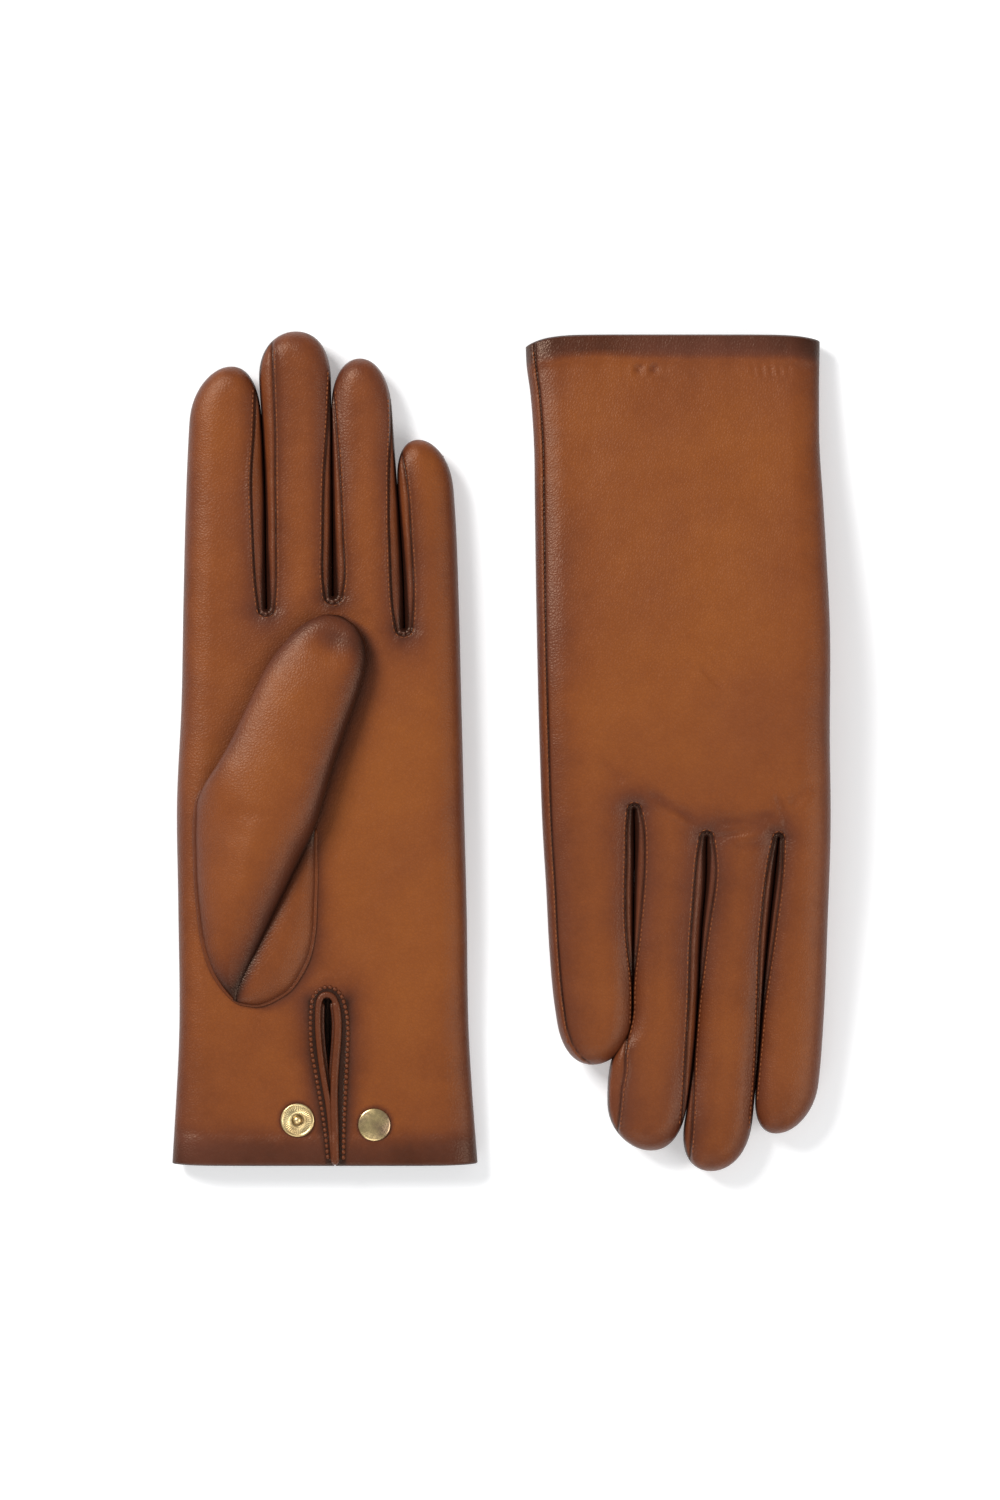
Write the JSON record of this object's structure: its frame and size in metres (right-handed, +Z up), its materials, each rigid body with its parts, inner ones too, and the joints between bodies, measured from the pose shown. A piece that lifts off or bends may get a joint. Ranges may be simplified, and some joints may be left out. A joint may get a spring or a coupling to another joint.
{
  "type": "pair of leather gloves",
  "caption": "Slim dress gloves in burnished tan leather with a bound palm-side wrist vent, press studs, fourchetted fingers and set-in thumbs, laid flat head to tail",
  "frame": {"origin": "centre of the pair's footprint on the surface it lies on", "axes": "+Z up from that surface, +Y along the fingers of the left glove, +X from the left glove to the right glove"},
  "size_m": [0.2038, 0.2592, 0.0245],
  "materials": {
    "leather": "burnished, soft semi-matte",
    "edge_leather": "dark burnished edge",
    "lining": "fine knit",
    "snap_brass": "polished",
    "snap_steel": "plain"
  },
  "bodies": {
    "left_hand": {"left_palm_leather": "leather", "left_back_leather": "leather", "left_cuff_hem": "edge_leather", "left_hand_lining": "lining", "left_finger_webs": "leather", "left_thumb_base": "leather"},
    "left_stud_lapel": {"left_stud_flap": "leather", "left_stud_flap_binding": "edge_leather", "left_snap_stud": "snap_brass", "left_snap_stud_backing": "snap_steel"},
    "left_cap_lapel": {"left_cap_flap": "leather", "left_cap_flap_binding": "edge_leather", "left_snap_cap": "snap_brass", "left_snap_socket": "snap_steel"},
    "left_index_finger": {"left_index_leather": "leather", "left_index_fourchette_to_middle": "leather", "left_index_lining": "lining"},
    "left_middle_finger": {"left_middle_leather": "leather", "left_middle_fourchette_to_index": "leather", "left_middle_fourchette_to_ring": "leather", "left_middle_lining": "lining"},
    "left_ring_finger": {"left_ring_leather": "leather", "left_ring_fourchette_to_middle": "leather", "left_ring_fourchette_to_little": "leather", "left_ring_lining": "lining"},
    "left_little_finger": {"left_little_leather": "leather", "left_little_fourchette_to_ring": "leather", "left_little_lining": "lining"},
    "left_thumb": {"left_thumb_leather": "leather", "left_thumb_lining": "lining"},
    "right_hand": {"right_palm_leather": "leather", "right_back_leather": "leather", "right_cuff_hem": "edge_leather", "right_hand_lining": "lining", "right_finger_webs": "leather", "right_thumb_base": "leather"},
    "right_stud_lapel": {"right_stud_flap": "leather", "right_stud_flap_binding": "edge_leather", "right_snap_stud": "snap_brass", "right_snap_stud_backing": "snap_steel"},
    "right_cap_lapel": {"right_cap_flap": "leather", "right_cap_flap_binding": "edge_leather", "right_snap_cap": "snap_brass", "right_snap_socket": "snap_steel"},
    "right_index_finger": {"right_index_leather": "leather", "right_index_fourchette_to_middle": "leather", "right_index_lining": "lining"},
    "right_middle_finger": {"right_middle_leather": "leather", "right_middle_fourchette_to_index": "leather", "right_middle_fourchette_to_ring": "leather", "right_middle_lining": "lining"},
    "right_ring_finger": {"right_ring_leather": "leather", "right_ring_fourchette_to_middle": "leather", "right_ring_fourchette_to_little": "leather", "right_ring_lining": "lining"},
    "right_little_finger": {"right_little_leather": "leather", "right_little_fourchette_to_ring": "leather", "right_little_lining": "lining"},
    "right_thumb": {"right_thumb_leather": "leather", "right_thumb_lining": "lining"}
  },
  "joints": [
    {"name": "left_index_knuckle", "type": "hinge", "parent": "left_hand", "child": "left_index_finger", "pos_m": [-0.0858, 0.0456, 0.013], "axis": [1, 0, 0], "range_deg": [0, 90]},
    {"name": "left_middle_knuckle", "type": "hinge", "parent": "left_hand", "child": "left_middle_finger", "pos_m": [-0.0624, 0.0496, 0.013], "axis": [1, 0, 0], "range_deg": [0, 90]},
    {"name": "left_ring_knuckle", "type": "hinge", "parent": "left_hand", "child": "left_ring_finger", "pos_m": [-0.0415, 0.0496, 0.013], "axis": [1, 0, 0], "range_deg": [0, 90]},
    {"name": "left_little_knuckle", "type": "hinge", "parent": "left_hand", "child": "left_little_finger", "pos_m": [-0.02155, 0.0396, 0.013], "axis": [1, 0, 0], "range_deg": [0, 90]},
    {"name": "left_thumb_root", "type": "hinge", "parent": "left_hand", "child": "left_thumb", "pos_m": [-0.0756, -0.0224, 0.0245], "axis": [0.9336, -0.3584, 0], "range_deg": [0, 75]},
    {"name": "left_stud_lapel_fold", "type": "hinge", "parent": "left_hand", "child": "left_stud_lapel", "pos_m": [-0.072, -0.1019, 0.01082], "axis": [-0.4795, -0.8764, -0.0438], "range_deg": [0, 110]},
    {"name": "left_cap_lapel_fold", "type": "hinge", "parent": "left_hand", "child": "left_cap_lapel", "pos_m": [-0.0338, -0.1019, 0.01082], "axis": [-0.4795, 0.8764, 0.0438], "range_deg": [0, 110]},
    {"name": "right_index_knuckle", "type": "hinge", "parent": "right_hand", "child": "right_index_finger", "pos_m": [0.09305, -0.0464, 0.0065], "axis": [1, 0, 0], "range_deg": [0, 90]},
    {"name": "right_middle_knuckle", "type": "hinge", "parent": "right_hand", "child": "right_middle_finger", "pos_m": [0.0737, -0.0484, 0.0065], "axis": [1, 0, 0], "range_deg": [0, 90]},
    {"name": "right_ring_knuckle", "type": "hinge", "parent": "right_hand", "child": "right_ring_finger", "pos_m": [0.05205, -0.0484, 0.0065], "axis": [1, 0, 0], "range_deg": [0, 90]},
    {"name": "right_little_knuckle", "type": "hinge", "parent": "right_hand", "child": "right_little_finger", "pos_m": [0.02705, -0.0384, 0.0075], "axis": [1, 0, 0], "range_deg": [0, 90]},
    {"name": "right_thumb_root", "type": "hinge", "parent": "right_hand", "child": "right_thumb", "pos_m": [0.075, 0.0236, 0], "axis": [0.9336, -0.3584, 0], "range_deg": [0, 75]},
    {"name": "right_stud_lapel_fold", "type": "hinge", "parent": "right_hand", "child": "right_stud_lapel", "pos_m": [0.0714, 0.1031, 0.00371], "axis": [-0.4784, -0.8743, 0.0827], "range_deg": [0, 110]},
    {"name": "right_cap_lapel_fold", "type": "hinge", "parent": "right_hand", "child": "right_cap_lapel", "pos_m": [0.0332, 0.1031, 0.00371], "axis": [-0.4784, 0.8743, -0.0827], "range_deg": [0, 110]},
    {"name": "right_glove_lift", "type": "slide", "parent": "left_hand", "child": "right_hand", "axis": [0, 0, 1], "range_m": [0, 0.1]}
  ]
}
